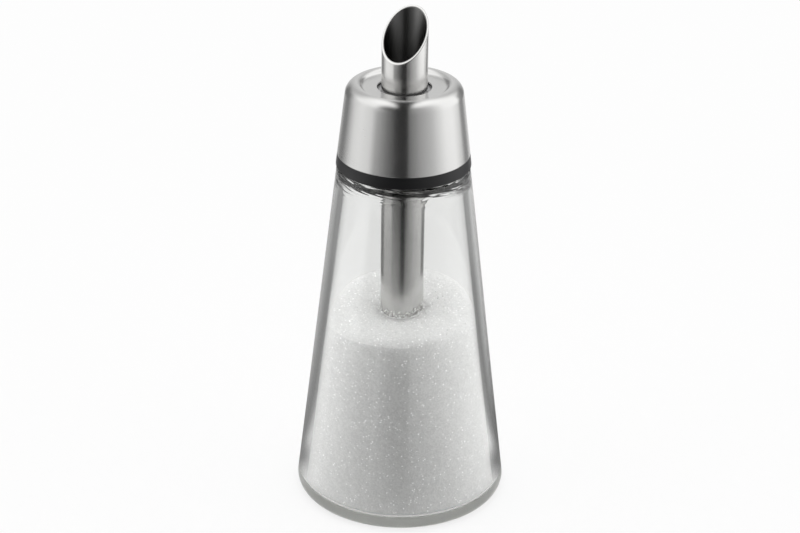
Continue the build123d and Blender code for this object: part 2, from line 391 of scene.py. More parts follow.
def clear_glass(finishes):
    """Pressed soda glass: faintly green in depth, wavy, with rings under the shoulder."""
    graph = new_material("pressed_glass")
    position = graph.position()
    height = graph.axes(position)[2]
    waves = graph.noise(graph.scaled(position, (1, 1, 0.35)), scale=60, detail=1)
    smudges = graph.noise(position, scale=45, detail=4)
    flow = graph.noise(graph.scaled(position, (1, 1, 7)), scale=24, detail=1)
    rings = graph.maths("SINE", flow * 110)
    shoulder = height.between(*(jar_high.z - depth for depth in RINGS))
    footing = 1 - height.between(*STIPPLE_END)
    shader = graph.principled({
        "Base Color": rgba(finishes.glass),
        "Roughness": smudges.between(0.55, 0.8) * 0.02 + footing * 0.65,
        "IOR": 1.52,
        "Transmission Weight": 1.0,
        "Normal": graph.bump(0.5, 0.1 * MM, height=waves + rings * shoulder * 1.1),
    })
    stipple = graph.add("ShaderNodeBsdfDiffuse", None, {"Color": rgba(finishes.foot)})
    pressed = graph.add("ShaderNodeMixShader", None, {0: footing * 0.3, 1: shader, 2: stipple})
    depth = graph.add(
        "ShaderNodeVolumeAbsorption",
        None,
        {"Color": rgba(finishes.glass_depth), "Density": 30.0},
    )
    graph.close(pressed, depth)


def white_sugar(name, finishes, grain, depth):
    """Granulated sugar: facets of about a grain's size, with painted glints on some of them."""
    graph = new_material(name)
    position = graph.position()
    facets = {"Vector": position, "Scale": 1 / grain}
    spread = graph.add("ShaderNodeTexVoronoi", None, facets, "Distance")
    tone = graph.add("ShaderNodeTexVoronoi", None, facets, "Color")
    red = graph.add("ShaderNodeSeparateColor", None, {0: tone}, 0)
    specks = {"Vector": position, "Scale": 1.35 / grain}
    speck = graph.add("ShaderNodeTexVoronoi", None, specks, "Color")
    green = graph.add("ShaderNodeSeparateColor", None, {0: speck}, 1)
    clumps = graph.noise(position, scale=350, detail=3)
    # painted glint: a few cells turn white and glow at 0.5, a painted sparkle
    painted_glint = green + clumps * 0.05 > 1.006
    shade = red * 0.5 + clumps * 0.5
    grains = graph.mix(
        shade.between(0.2, 0.8), rgba(finishes.sugar, 0.91), rgba(finishes.sugar, 1.05)
    )
    shader = graph.principled({
        "Base Color": graph.mix(painted_glint, grains, grey(1)),
        "Roughness": 0.5 - painted_glint * 0.25,
        "IOR": 1.54,
        "Subsurface Weight": 1.0 if depth else 0.0,
        "Subsurface Radius": (1, 1, 1),
        "Subsurface Scale": depth,
        # painted glint: the glint cells glow
        "Emission Color": graph.mix(painted_glint, grey(0), grey(0.5)),
        "Emission Strength": 1.0,
        "Normal": graph.bump(0.3, 0.2 * MM, height=spread * 0.6 + red * 0.4),
    })
    graph.close(shader)


def turned_steel(name, colour, roughness, line_width, line_depth):
    """Satin steel with fine lines that run round the axis, and painted shade in a tube's bore."""
    graph = new_material(name)
    position = graph.position()
    x, y, z = graph.axes(position)
    radius = graph.maths("SQRT", x * x + y * y)
    travel = z - radius
    lines = graph.streaks(travel, scale=1 / line_width, detail=2)
    bands = graph.streaks(travel, scale=0.12 / line_width, detail=1)
    touch = graph.noise(position, scale=70, detail=3)
    tone = graph.mix(lines, rgba(colour, 0.955), rgba(colour, 1.045))
    # painted shade: inside a tube's bore the colour drops to 0.28 of the steel's
    inside = 1 - radius.between(*(spout_high.x - depth for depth in BORE_SHADE))
    satin = roughness + (bands - 0.5) * 0.05 + touch.between(0.5, 0.75) * 0.03
    shader = graph.principled({
        "Base Color": graph.mix(inside, tone, rgba(colour, 0.28)),
        "Metallic": 1.0,
        "Roughness": satin + inside * 0.2,
        "Anisotropic": 0.9,
        "Anisotropic Rotation": 0.25,
        "Normal": graph.bump(0.35, line_depth, height=lines),
    })
    graph.close(shader)


def plain_steel(finishes):
    """The flap's steel: a fine random satin."""
    graph = new_material("flap_satin")
    grain = graph.noise(graph.position(), scale=2500, detail=2)
    dark, light = rgba(finishes.tube_steel, 0.93), rgba(finishes.tube_steel, 1.05)
    shader = graph.principled({
        "Base Color": graph.mix(grain, dark, light),
        "Metallic": 1.0,
        "Roughness": 0.2 + grain * 0.1,
        "Normal": graph.bump(0.2, 0.02 * MM, height=grain),
    })
    graph.close(shader)


def moulded_plastic(name, colour, roughness, texture, relief):
    """Moulded plastic with a fine eroded texture."""
    graph = new_material(name)
    position = graph.position()
    pebbles = graph.noise(position, scale=1 / texture, detail=3)
    handled = graph.noise(position, scale=120, detail=3)
    shader = graph.principled({
        "Base Color": graph.mix(pebbles, rgba(colour, 0.88), rgba(colour, 1.12)),
        "Roughness": roughness + handled.between(0.35, 0.75) * 0.08,
        "Specular IOR Level": 0.35,
        "Normal": graph.bump(0.4, relief, height=pebbles),
    })
    graph.close(shader)


def material(name):
    """One of the dispenser's materials, which are all made at the first call."""
    settings = bpy.context.scene.dispenser
    finishes, sugar = settings.finishes, settings.sugar
    if name not in bpy.data.materials:
        clear_glass(finishes)
        white_sugar("packed_sugar", finishes, sugar.grain, sugar.depth)
        white_sugar("loose_sugar", finishes, sugar.grain, 0.0)
        turned_steel("cap_satin", finishes.cap_steel, 0.24, 0.09 * MM, 0.004 * MM)
        turned_steel("tube_satin", finishes.tube_steel, 0.2, 0.12 * MM, 0.001 * MM)
        plain_steel(finishes)
        moulded_plastic("insert_black", finishes.black, 0.34, 0.16 * MM, 0.03 * MM)
        moulded_plastic("collar_grey", finishes.grey, 0.3, 0.3 * MM, 0.01 * MM)
        moulded_plastic("seal_silicone", finishes.silicone, 0.55, 0.25 * MM, 0.02 * MM)
    return bpy.data.materials[name]


# Meshes

PUNT_POINT = (0.55, 0.72)  # on the punt's dome: shares of its radius and of its depth
JAR_MARGIN = 0.35 * MM  # width of the strip that support() cuts next to a rounding
CAP_MARGIN = 0.4 * MM
THREAD_ROWS = 54  # cuts in the neck's wall, fine enough for the ridge
SKIRT_ROWS = 52  # and in the insert's bore
THREAD_MARGIN = 0.5 * MM  # strip at the lower end of a wall that no ridge reaches
SHORTEST_WALL = 2 * MM  # a wall with a thread is longer than this
RIDGE_ROOT = 0.75 * MM  # half the width of a thread's ridge at its root
RIDGE_CREST = 0.3 * MM  # and at its crest
RIDGE_RUN_OUT = 0.04  # share of a turn in which the ridge rises at its ends


def outline(mesh, corners, closed):
    """Draw an outline in the XZ plane from (radius, height, rounding) corners."""
    verts = [mesh.verts.new((radius, 0, height)) for radius, height, _ in corners]
    following = verts[1:] + verts[:1] if closed else verts[1:]
    for first, second in zip(verts, following):
        mesh.edges.new((first, second))
    for vert, (_, _, rounding) in zip(verts, corners):
        if rounding:
            arms = [(edge.other_vert(vert).co - vert.co) for edge in vert.link_edges]
            opening = arms[0].angle(arms[1])
            bmesh.ops.bevel(
                mesh,
                geom=[vert],
                offset=rounding / math.tan(opening / 2),
                offset_type="OFFSET",
                segments=max(LEAST_FACETS, round((math.pi - opening) / FACET_ANGLE)),
                profile=0.5,
                affect="VERTICES",
                material=-1,
            )


def support(mesh, margin):
    """Cut each long edge of an outline close to its ends, so that roundings shade cleanly."""
    for edge in [edge for edge in mesh.edges if edge.calc_length() > 5 * margin]:
        start, end = edge.verts
        span = edge.calc_length()
        _, cut = bmesh.utils.edge_split(edge, start, margin / span)
        rest = next(link for link in cut.link_edges if end in link.verts)
        bmesh.utils.edge_split(rest, end, margin / (span - margin))


def edges_at(mesh, axis, place, shortest=0.0):
    """Edges that lie at one place on an axis and are longer than the shortest."""
    return [
        edge
        for edge in mesh.edges
        if all(abs(vert.co[axis] - place) < WELD for vert in edge.verts)
        and edge.calc_length() > shortest
    ]


def verts_round(mesh, radius, low, high):
    """Vertices on a cylinder round the axis, between two heights."""
    return [
        vert
        for vert in mesh.verts
        if low < vert.co.z < high and abs(vert.co.xy.length - radius) < NEAR
    ]


def turn(mesh, steps):
    """Spin an outline into a solid of revolution with closed poles."""
    bmesh.ops.spin(
        mesh,
        geom=mesh.verts[:] + mesh.edges[:],
        cent=(0, 0, 0),
        axis=(0, 0, 1),
        dvec=(0, 0, 0),
        angle=math.tau,
        steps=steps,
        use_merge=True,
    )
    bmesh.ops.remove_doubles(mesh, verts=mesh.verts[:], dist=WELD)
    bmesh.ops.recalc_face_normals(mesh, faces=mesh.faces[:])


def ridge(place, start, lead, turns):
    """Share of a thread's full height at a point, 0 where there is no ridge."""
    around = math.atan2(place.y, place.x) % math.tau / math.tau
    share = 0.0
    for lap in range(math.ceil(turns)):
        along = around + lap
        if along > turns:
            continue
        offset = abs(place.z - start - lead * along)
        flank = min(1.0, max(0.0, (RIDGE_ROOT - offset) / (RIDGE_ROOT - RIDGE_CREST)))
        ends = min(1.0, min(along, turns - along) / RIDGE_RUN_OUT)
        share = max(share, flank * flank * (3 - 2 * flank) * max(0.0, ends))
    return share


def raise_thread(verts, start, lead, turns, height):
    """Move vertices out, or in for a negative height, to form a thread's ridge."""
    for vert in verts:
        share = ridge(vert.co, start, lead, turns)
        stretch = 1 + height * share / vert.co.xy.length
        vert.co.x *= stretch
        vert.co.y *= stretch


def add_object(name, mesh):
    """Make a finished mesh an object in the scene."""
    data = bpy.data.meshes.new(name)
    mesh.to_mesh(data)
    mesh.free()
    made = bpy.data.objects.new(name, data)
    bpy.context.scene.collection.objects.link(made)
    return made


def add_piece(name, mesh, body, look, nodes):
    """Make a finished mesh a piece that rides on a body in place of CAD nodes."""
    piece = add_object(name, mesh)
    piece.data.shade_smooth()
    piece.data.set_sharp_from_angle(angle=SHARP_ANGLE)
    piece.data.materials.append(material(look))
    if nodes:
        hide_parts(*nodes)
    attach(piece, body)


def finish_node(node, look):
    """Give a CAD node's own mesh a better material."""
    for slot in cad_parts[node].material_slots:
        slot.material = material(look)


def wall_radius(centre, radius, point, side, height, inset):
    """Radius at a height of a straight wall that touches a rounding and ends in a point."""
    run = point[0] - centre[0]
    rise = point[1] - centre[1]
    taper = math.atan2(rise, run) + side * math.acos(radius / math.hypot(run, rise))
    return point[0] + (point[1] - height) * math.tan(taper) - inset / math.cos(taper)


def jar_radius(jar, height, inset=0.0):
    """Radius of the jar's straight wall, or of a surface that lies inset from it."""
    shoulder = (jar.neck + jar.shoulder, jar_high.z - jar.neck_length)
    heel = (jar_high.x - jar.heel, jar.heel)
    return wall_radius(heel, jar.heel, shoulder, -1, height, inset)


def cap_radius(cap, height, inset=0.0):
    """Radius of the cap's straight wall, or of a surface that lies inset from it."""
    edge = (shell_high.x, shell_low.z)
    lip = (shell_high.x - cap.lean - cap.lip, shell_high.z - cap.lip)
    return wall_radius(lip, cap.lip, edge, 1, height, inset)


class DISPENSER_OT_jar(Operator):
    """Turn the glass jar with its screw thread"""

    bl_idname = "dispenser.jar"
    bl_label = "Glass Jar"

    def execute(self, context):
        jar = context.scene.dispenser.jar
        rim = jar_high.z
        shoulder = rim - jar.neck_length
        inner_shoulder = shoulder - jar.shoulder_glass
        inner_edge = jar_radius(jar, inner_shoulder, jar.wall)
        bore = jar.neck - jar.neck_wall
        foot = jar_high.x - jar.heel - jar.foot
        dome = (PUNT_POINT[0] * foot, PUNT_POINT[1] * jar.punt)
        mesh = bmesh.new()
        corners = [
            (0, jar.punt, 0),
            (*dome, 0),
            (foot, 0, 0),
            (jar_radius(jar, 0), 0, jar.heel),
            (jar.neck + jar.shoulder, shoulder, jar.shoulder_rounding),
            (jar.neck, shoulder, jar.neck_root),
            (jar.neck, rim, jar.rim_rounding),
            (bore, rim, jar.rim_rounding),
            (bore, inner_shoulder, jar.bore_rounding),
            (inner_edge, inner_shoulder, jar.shoulder_rounding),
            (jar_radius(jar, jar.floor, jar.wall), jar.floor, jar.floor_rounding),
            (0, jar.floor, 0),
        ]
        outline(mesh, corners, closed=False)
        support(mesh, JAR_MARGIN)
        neck_wall = edges_at(mesh, 0, jar.neck, SHORTEST_WALL)
        bmesh.ops.subdivide_edges(mesh, edges=neck_wall, cuts=THREAD_ROWS)
        turn(mesh, JAR_STEPS)
        on_neck = verts_round(mesh, jar.neck, shoulder + THREAD_MARGIN, rim)
        start = rim - jar.thread_drop
        raise_thread(on_neck, start, jar.thread_lead, jar.thread_turns, jar.thread_height)
        add_piece("jar_glass", mesh, "jar", "pressed_glass", ["glass_jar"])
        return {"FINISHED"}


BED_RINGS = 54  # cuts from the glass to the tube in the sugar's surface
CORE_RINGS = 12  # and inside the tube
SWELL_SCALE = 75  # swells in a metre, and the finer roughness outside and in the tube
ROUGH_SCALE = 700
CORE_SCALE = 600
ROUGH_HEIGHT = 0.22 * MM
CORE_HEIGHT = 0.2 * MM
CALM = 0.35  # share of the swell that is left at the tube
CORE_DROP = 0.3 * MM  # how far the sugar in the tube lies below the lowest of the dish

GRAIN_SIZES = (0.55, 1.15)  # smallest and largest, as shares of the usual grain
GRAIN_WIDTHS = (0.7, 1.0)  # width and height of a grain, as shares of its length
GRAIN_HEIGHTS = (0.6, 1.0)
GRAIN_LIFT = 0.15  # height of a lying grain's middle above the bed, in its sizes
CLING_GAP = 0.62  # from the steel to the middle of a clinging grain, in its sizes
CLING_HEIGHT = 3.2 * MM  # how far above the sugar a grain may cling
CLING_CROWDING = 3  # the higher, the more the clinging grains crowd near the sugar
TUBE_CROWDING = 9  # and the lying grains near the tube
TUBE_MARGIN = 0.7  # least distance from the tube and the glass, in grains
WALL_MARGIN = 1.2


def sugar_height(sugar, radius, wall, x, y):
    """Height of the sugar's surface: a tilted, uneven dish that slumps at the glass."""
    tube = dosing_high.x
    share = max(0.0, min(1.0, (radius - tube) / (wall - tube)))
    dish = sugar.level - sugar.dish * (1 - share) + y * math.tan(sugar.tilt)
    edge = min(1.0, max(0.0, 1 - (wall - radius) / (2 * sugar.slump)))
    dish -= sugar.slump * (1 - math.sqrt(1 - edge * edge))
    swell = noise.noise(Vector((x, y, 0.02)) * SWELL_SCALE) * sugar.swell
    rough = noise.noise(Vector((x, y, 0.05)) * ROUGH_SCALE) * ROUGH_HEIGHT
    return dish + swell * (CALM + (1 - CALM) * share) + rough


def strew_grain(mesh, dice, sugar, wall, clings):
    """Add one grain: a small block that lies on the surface or clings to the tube's foot."""
    around = dice.uniform(0, math.tau)
    size = sugar.grain * dice.uniform(*GRAIN_SIZES)
    if clings:
        radius = dosing_high.x + CLING_GAP * size
        lift = dice.random() ** CLING_CROWDING * CLING_HEIGHT
    else:
        near = dosing_high.x + TUBE_MARGIN * sugar.grain
        far = wall - WALL_MARGIN * sugar.grain
        radius = near + (far - near) * dice.random() ** TUBE_CROWDING
        lift = size * GRAIN_LIFT
    x, y = radius * math.cos(around), radius * math.sin(around)
    height = sugar_height(sugar, radius, wall, x, y) + lift
    width = size * dice.uniform(*GRAIN_WIDTHS)
    block = (size, width, size * dice.uniform(*GRAIN_HEIGHTS), 1)
    lean = Euler([dice.uniform(0, math.tau) for _ in range(3)]).to_matrix().to_4x4()
    matrix = Matrix.Translation((x, y, height)) @ lean @ Matrix.Diagonal(block)
    bmesh.ops.create_cube(mesh, size=1.0, matrix=matrix)


class DISPENSER_OT_sugar(Operator):
    """Heap the sugar in the jar and strew single grains on it"""

    bl_idname = "dispenser.sugar"
    bl_label = "Sugar"

    def execute(self, context):
        settings = context.scene.dispenser
        jar, sugar = settings.jar, settings.sugar
        level = sugar.level
        bottom = jar.floor + sugar.gap
        inset = jar.wall + sugar.gap
        wall = jar_radius(jar, level, inset)
        slot_outer = dosing_high.x + sugar.gap
        slot_inner = dosing_high.x - settings.tubes.dosing_wall - sugar.gap
        slot_bottom = dosing_low.z - sugar.gap
        core = level - sugar.dish - CORE_DROP
        mesh = bmesh.new()
        corners = [
            (0, bottom, 0),
            (jar_radius(jar, bottom, inset), bottom, jar.floor_rounding - sugar.gap),
            (wall, level, 0),
            (slot_outer, level, 0),
            (slot_outer, slot_bottom, 0),
            (slot_inner, slot_bottom, 0),
            (slot_inner, core, 0),
            (0, core, 0),
        ]
        outline(mesh, corners, closed=False)
        for height, cuts in ((level, BED_RINGS), (core, CORE_RINGS)):
            bmesh.ops.subdivide_edges(mesh, edges=edges_at(mesh, 2, height), cuts=cuts)
        turn(mesh, JAR_STEPS)
        for vert in mesh.verts:
            radius = vert.co.xy.length
            if abs(vert.co.z - level) < WELD:
                vert.co.z = sugar_height(sugar, radius, wall, vert.co.x, vert.co.y)
                if radius > wall - WELD:
                    turned = jar_radius(jar, vert.co.z, inset) / radius
                    vert.co.x *= turned
                    vert.co.y *= turned
            elif abs(vert.co.z - core) < WELD:
                vert.co.z += noise.noise(vert.co * CORE_SCALE) * CORE_HEIGHT
        bmesh.ops.recalc_face_normals(mesh, faces=mesh.faces[:])
        add_piece("sugar_bed", mesh, "jar", "packed_sugar", ["sugar_fill"])

        dice = random.Random(4)
        grains = bmesh.new()
        for index in range(sugar.loose_grains + sugar.tube_grains):
            clings = index >= sugar.loose_grains
            strew_grain(grains, dice, sugar, wall, clings)
        add_piece("sugar_grains", grains, "jar", "loose_sugar", [])
        return {"FINISHED"}


RIM_ANGLE = math.radians(60)  # the sheet's cut rims turn by more than this
RIM_BEVEL = 0.12 * MM
CAP_MIDDLE = 10 * MM  # below the recess, a point inside the cap

# Roundings of the moulded edges and the tubes' ends
PLAIN_END = 0.15 * MM
FINE_ROUNDING = 0.2 * MM
EDGE_ROUNDING = 0.3 * MM
LIP_ROUNDING = 0.35 * MM
ROOT_ROUNDING = 0.4 * MM
RING_ROUNDING = 0.45 * MM
DISC_ROUNDING = 0.5 * MM


class DISPENSER_OT_cap_shell(Operator):
    """Press the steel cap from one sheet"""

    bl_idname = "dispenser.cap_shell"
    bl_label = "Steel Cap"

    def execute(self, context):
        cap = context.scene.dispenser.cap
        top = shell_high.z
        floor = top - cap.recess
        lip_centre = shell_high.x - cap.lean - cap.lip
        drop = cap.inner_lip + cap.recess_rounding
        drop_angle = math.acos(1 - cap.recess / drop)
        edge = lip_centre - drop * math.sin(drop_angle)
        half = drop_angle / 2
        mesh = bmesh.new()
        corners = [
            (shell_high.x, shell_low.z, 0),
            (cap_radius(cap, top), top, cap.lip),
            (lip_centre - cap.inner_lip * math.tan(half), top, cap.inner_lip),
            (edge + cap.recess_rounding * math.tan(half), floor, cap.recess_rounding),
            (cap.hole, floor, 0),
        ]
        outline(mesh, corners, closed=False)
        support(mesh, CAP_MARGIN)
        turn(mesh, CAP_STEPS)
        centre = Vector((0, 0, floor - CAP_MIDDLE))
        outward = sum((face.calc_center_median() - centre).dot(face.normal) for face in mesh.faces)
        if outward < 0:
            bmesh.ops.reverse_faces(mesh, faces=mesh.faces[:])
        bmesh.ops.solidify(mesh, geom=mesh.faces[:], thickness=cap.sheet)
        rims = [
            link
            for link in mesh.edges
            if link.is_manifold and link.calc_face_angle() > RIM_ANGLE
        ]
        bmesh.ops.bevel(
            mesh,
            geom=rims,
            offset=RIM_BEVEL,
            offset_type="OFFSET",
            segments=2,
            profile=0.5,
            affect="EDGES",
            material=-1,
        )
        add_piece("steel_cap", mesh, "cap", "cap_satin", ["cap_shell"])
        return {"FINISHED"}


class DISPENSER_OT_cap_insert(Operator):
    """Mould the black screw insert"""

    bl_idname = "dispenser.cap_insert"
    bl_label = "Screw Insert"

    def execute(self, context):
        settings = context.scene.dispenser
        jar, cap = settings.jar, settings.cap
        bottom, hub_top = insert_low.z, insert_high.z
        ring_top = shell_low.z
        inset = cap.sheet + cap.fit
        disc_top = cap.disc + cap.disc_thickness
        plug = jar.neck - jar.neck_wall - cap.plug_gap
        plug_bore = plug - cap.plug_wall
        plug_end = cap.disc - cap.plug_depth
        hub_bore = spout_high.x + cap.collar_wall
        hub = hub_bore + cap.hub_wall
        ledge = hub_top - cap.ledge_depth
        spout_fit = spout_high.x + cap.fit
        dosing_fit = dosing_high.x + cap.fit
        mesh = bmesh.new()
        corners = [
            (cap.insert_bore, bottom, ROOT_ROUNDING),
            (cap_radius(cap, bottom), bottom, RING_ROUNDING),
            (shell_high.x, ring_top, PLAIN_END),
            (cap_radius(cap, ring_top, inset), ring_top, 0),
            (cap_radius(cap, disc_top, inset), disc_top, DISC_ROUNDING),
            (hub, disc_top, ROOT_ROUNDING),
            (hub, hub_top, EDGE_ROUNDING),
            (hub_bore, hub_top, FINE_ROUNDING),
            (hub_bore, ledge, 0),
            (spout_fit, ledge, 0),
            (spout_fit, dosing_high.z, 0),
            (dosing_fit, dosing_high.z, 0),
            (dosing_fit, cap.disc, EDGE_ROUNDING),
            (plug_bore, cap.disc, EDGE_ROUNDING),
            (plug_bore, plug_end, EDGE_ROUNDING),
            (plug, plug_end, EDGE_ROUNDING),
            (plug, cap.disc, 0),
            (cap.insert_bore, cap.disc, 0),
        ]
        outline(mesh, corners, closed=True)
        skirt = edges_at(mesh, 0, cap.insert_bore, SHORTEST_WALL)
        bmesh.ops.subdivide_edges(mesh, edges=skirt, cuts=SKIRT_ROWS)
        turn(mesh, JAR_STEPS)
        in_bore = verts_round(mesh, cap.insert_bore, bottom + THREAD_MARGIN, cap.disc - NEAR)
        start = jar_high.z - jar.thread_drop - jar.thread_lead / 2
        raise_thread(in_bore, start, jar.thread_lead, 1.0, -jar.thread_height)
        add_piece("screw_insert", mesh, "cap", "insert_black", ["cap_insert"])
        return {"FINISHED"}


class DISPENSER_OT_collar(Operator):
    """Mould the grey collar and finish the seal under the disc"""

    bl_idname = "dispenser.collar"
    bl_label = "Collar and Seal"

    def execute(self, context):
        cap = context.scene.dispenser.cap
        hub_top = insert_high.z
        bore = spout_high.x + cap.collar_fit
        spigot = spout_high.x + cap.collar_wall - cap.collar_fit
        mesh = bmesh.new()
        corners = [
            (bore, collar_low.z, FINE_ROUNDING),
            (spigot, collar_low.z, FINE_ROUNDING),
            (spigot, hub_top, 0),
            (collar_high.x, hub_top, FINE_ROUNDING),
            (collar_high.x, collar_high.z, EDGE_ROUNDING),
            (bore, collar_high.z, LIP_ROUNDING),
        ]
        outline(mesh, corners, closed=True)
        turn(mesh, COLLAR_STEPS)
        add_piece("grey_collar", mesh, "cap", "collar_grey", ["spout_collar"])
        finish_node("seal_ring", "seal_silicone")
        return {"FINISHED"}


def pipe(name, node, body, outer, wall, low, high, rounding, slope=0.0):
    """Make a tube with rounded edges, whose upper end may be cut off at a slope."""
    mesh = bmesh.new()
    corners = [
        (outer, low, PLAIN_END),
        (outer, high, rounding),
        (outer - wall, high, rounding),
        (outer - wall, low, PLAIN_END),
    ]
    outline(mesh, corners, closed=True)
    turn(mesh, TUBE_STEPS)
    for vert in mesh.verts:
        if vert.co.z > high - 2 * rounding:
            vert.co.z += vert.co.y * slope
    add_piece(name, mesh, body, "tube_satin", [node])


class DISPENSER_OT_tubes(Operator):
    """Cut the pouring tube and the dosing tube"""

    bl_idname = "dispenser.tubes"
    bl_label = "Tubes"

    def execute(self, context):
        tubes = context.scene.dispenser.tubes
        slope = math.tan(tubes.mouth_angle)
        pipe(
            "pouring_tube",
            "spout_tube",
            "cap",
            outer=spout_high.x,
            wall=tubes.spout_wall,
            low=spout_low.z,
            high=spout_high.z - spout_high.x * slope,
            rounding=tubes.rim,
            slope=slope,
        )
        pipe(
            "dosing_pipe",
            "dosing_tube",
            "dosing",
            outer=dosing_high.x,
            wall=tubes.dosing_wall,
            low=dosing_low.z,
            high=dosing_high.z,
            rounding=PLAIN_END,
        )
        return {"FINISHED"}


class DISPENSER_OT_flap(Operator):
    """Finish the flap, its pin and its seat"""

    bl_idname = "dispenser.flap"
    bl_label = "Flap"

    def execute(self, context):
        finish_node("flap", "flap_satin")
        finish_node("flap_pin", "flap_satin")
        finish_node("flap_seat", "insert_black")
        return {"FINISHED"}


# Studio

# Brightness round the dispenser, as (degrees from the camera's side, counted to the right,
# brightness). FAR_LIGHT is the floor far away and the low sky, HIGH_LIGHT the sky above that,
# and NEAR_LIGHT, CLOSE_LIGHT and HEEL_LIGHT are the floor ever closer to the foot, all for
# shiny surfaces. SOFT_LIGHT is what matt surfaces see.
FAR_LIGHT = [
    (-180, 0.9), (-165, 0.7), (-150, 0.2), (-128, 0.25), (-108, 0.9), (-84, 1.15),
    (-60, 0.9), (-46, 0.62), (-30, 0.28), (-14, 0.03), (6, 0.02), (9, 0.3), (30, 0.55),
    (50, 0.75), (80, 1.4), (118, 1.5), (128, 0.4), (150, 0.22), (165, 0.7), (180, 0.9),
]
HIGH_LIGHT = [
    (-180, 0.9), (-150, 0.6), (-128, 0.9), (-108, 1.4), (-60, 1.3), (-50, 0.5),
    (-38, 0.1), (-14, 0.03), (6, 0.02), (13, 0.3), (32, 0.5), (55, 0.8), (80, 1.4),
    (118, 1.5), (135, 1.2), (150, 0.6), (180, 0.9),
]
NEAR_LIGHT = [
    (-180, 0.9), (-150, 0.5), (-142, 0.3), (-128, 0.3), (-112, 0.7), (-100, 1.15),
    (-62, 1.1), (-52, 0.1), (-20, 0.04), (18, 0.05), (30, 0.3), (50, 0.55), (75, 1.05),
    (100, 1.2), (114, 0.7), (128, 0.3), (141, 0.35), (153, 0.85), (180, 0.9),
]
CLOSE_LIGHT = [
    (-180, 0.6), (-160, 0.55), (-146, 0.42), (-136, 0.28), (-121, 0.28), (-111, 0.75),
    (-60, 0.6), (-18, 0.4), (-8, 0.06), (7, 0.05), (16, 0.4), (60, 0.8), (110, 0.95),
    (119, 0.24), (134, 0.28), (143, 0.45), (153, 0.8), (180, 0.7),
]
HEEL_LIGHT = [
    (-180, 0.3), (-106, 0.3), (-96, 0.6), (-84, 0.9), (84, 0.9), (94, 0.5), (104, 0.25),
    (180, 0.25),
]
SOFT_LIGHT = [
    (-180, 0.35), (-130, 0.45), (-100, 0.8), (-78, 1.08), (-60, 0.64), (-32, 0.02),
    (32, 0.02), (60, 0.62), (78, 1.04), (100, 0.8), (130, 0.45), (180, 0.35),
]

# Distances from the axis, in metres, over which one light on the floor turns into the next
HEEL_TO_CLOSE = (0.05, 0.072)
CLOSE_TO_NEAR = (0.25, 0.3)
NEAR_TO_FAR = (0.56, 0.64)
SHADE_TO_SOFT = (0.045, 0.09)
# Heights in the sky, from 0 at the horizon to 1 overhead, between which the light changes
FAR_TO_HIGH = (0.2, 0.45)
HIGH_TO_TOP = (0.65, 0.95)
SOFT_TO_TOP = (0.55, 0.8)
# The dark strip in the top light: where it fades at its sides and at its far end
PARTING_SIDE = (0.1, 0.25)
PARTING_BACK = (-0.75, -0.35)

INSIDE_GAIN = 1.1  # light that is added on matt surfaces in the jar, as a share
TOP_GAIN = 0.58  # the same for light from above
BEHIND_GLASS = 2.5  # rays that crossed more glass surfaces than this come out of the jar


def light_ramp(graph, turn_share, levels):
    """A ramp of brightness over the azimuth, given as a share of a full turn."""
    stops = [((place + 180) / 360, level) for place, level in levels]
    return graph.add("ShaderNodeValToRGB", {"stops": stops}, {0: turn_share}, "Color")


def camera_axes(x, y, heading):
    """Parts of a place or a direction: towards the camera, and to the right seen from it."""
    ahead = x * math.sin(heading) - y * math.cos(heading)
    aside = x * math.cos(heading) + y * math.sin(heading)
    return ahead, aside


def azimuth(graph, ahead, aside):
    """Direction from the camera's side, counted to the right, as a share of a full turn."""
    return graph.maths("ARCTAN2", aside, ahead) / math.tau + 0.5


def seen_directly(graph):
    """1 for what the camera sees itself or through the glass, 0 for reflected light."""
    glossy = graph.add("ShaderNodeLightPath", output="Glossy Depth")
    diffuse = graph.add("ShaderNodeLightPath", output="Diffuse Depth")
    return glossy + diffuse < 0.5


def scattered(graph):
    """1 for the light that a matt surface scatters."""
    return graph.add("ShaderNodeLightPath", output="Diffuse Depth") > 0.5


def light_gain(graph, extra):
    """Strength of the light: more on matt surfaces in the jar, for what the glass keeps."""
    passes = graph.add("ShaderNodeLightPath", output="Transmission Depth")
    return 1 + scattered(graph) * (passes > BEHIND_GLASS) * extra


